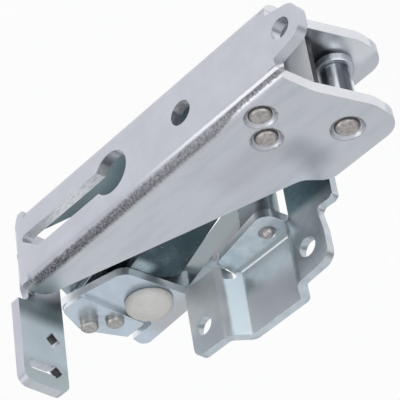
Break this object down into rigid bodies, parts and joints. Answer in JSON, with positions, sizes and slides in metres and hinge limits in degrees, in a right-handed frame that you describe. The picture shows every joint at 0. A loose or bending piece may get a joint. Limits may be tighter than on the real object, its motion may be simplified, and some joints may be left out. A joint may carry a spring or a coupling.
{
  "type": "fridge door hinge",
  "caption": "Multi-link steel hinge for an integrated fridge door: folded channel with end plate and nose, two long arms, lever pack with plastic cap, hat-shaped screw bracket.",
  "frame": {"origin": "centre of the round hole in the channel's back, on its outer face", "axes": "+X along the channel from its end plate to its ears and nose, +Y out of the channel's back, +Z along the pivot pins towards the side the end plate's tab stands out on"},
  "size_m": [0.0958, 0.041, 0.0424],
  "materials": {
    "zinc_plate": "bright zinc plated sheet",
    "rivet_steel": "satin, formed rivet heads",
    "nylon": "natural off-white moulding"
  },
  "bodies": {
    "channel": {"channel": "zinc_plate", "upper_pin": "rivet_steel", "lower_stub": "rivet_steel", "lower_plug": "rivet_steel", "ear_pin": "rivet_steel", "upper_bush_near": "zinc_plate", "upper_bush_far": "zinc_plate", "lower_bush": "zinc_plate", "ear_sleeve": "zinc_plate", "ear_guard": "zinc_plate"},
    "upper_arm": {"upper_arm": "zinc_plate"},
    "lower_arm": {"lower_arm": "zinc_plate"},
    "lever": {"lever_top": "zinc_plate", "lever_base": "zinc_plate", "lever_core_far": "zinc_plate", "lever_core_near": "zinc_plate", "lever_doubler": "zinc_plate", "pin_strap": "zinc_plate", "lever_pin_upper": "rivet_steel", "lever_pin_lower": "rivet_steel", "toe_rivet": "rivet_steel", "glide_cap": "nylon"},
    "bracket": {"bracket": "zinc_plate", "bracket_stud": "rivet_steel", "link_pin": "rivet_steel"},
    "ear_link": {"ear_link": "zinc_plate"}
  },
  "joints": [
    {"name": "upper_arm_turn", "type": "hinge", "parent": "channel", "child": "upper_arm", "pos_m": [0.0155, -0.0057, 0], "axis": [0, 0, 1], "range_deg": [0, 45]},
    {"name": "lower_arm_turn", "type": "hinge", "parent": "channel", "child": "lower_arm", "pos_m": [0.0113, -0.0113, 0], "axis": [0, 0, 1], "range_deg": [0, 49.5]},
    {"name": "lever_turn", "type": "hinge", "parent": "upper_arm", "child": "lever", "pos_m": [-0.05765, -0.02272, 0], "axis": [0, 0, 1], "range_deg": [-16.7, 0]},
    {"name": "bracket_turn", "type": "hinge", "parent": "lever", "child": "bracket", "pos_m": [-0.01243, -0.03433, 0], "axis": [0, 0, 1], "range_deg": [0, 67]},
    {"name": "ear_link_turn", "type": "hinge", "parent": "channel", "child": "ear_link", "pos_m": [0.0228, -0.0226, 0], "axis": [0, 0, 1], "range_deg": [0, 56.1]}
  ],
  "couplings": [
    {"joint": "lower_arm_turn", "follows": "upper_arm_turn", "ratio": 1.098},
    {"joint": "lever_turn", "follows": "upper_arm_turn", "ratio": -0.371},
    {"joint": "bracket_turn", "follows": "upper_arm_turn", "ratio": 1.487},
    {"joint": "ear_link_turn", "follows": "upper_arm_turn", "ratio": 1.245}
  ]
}
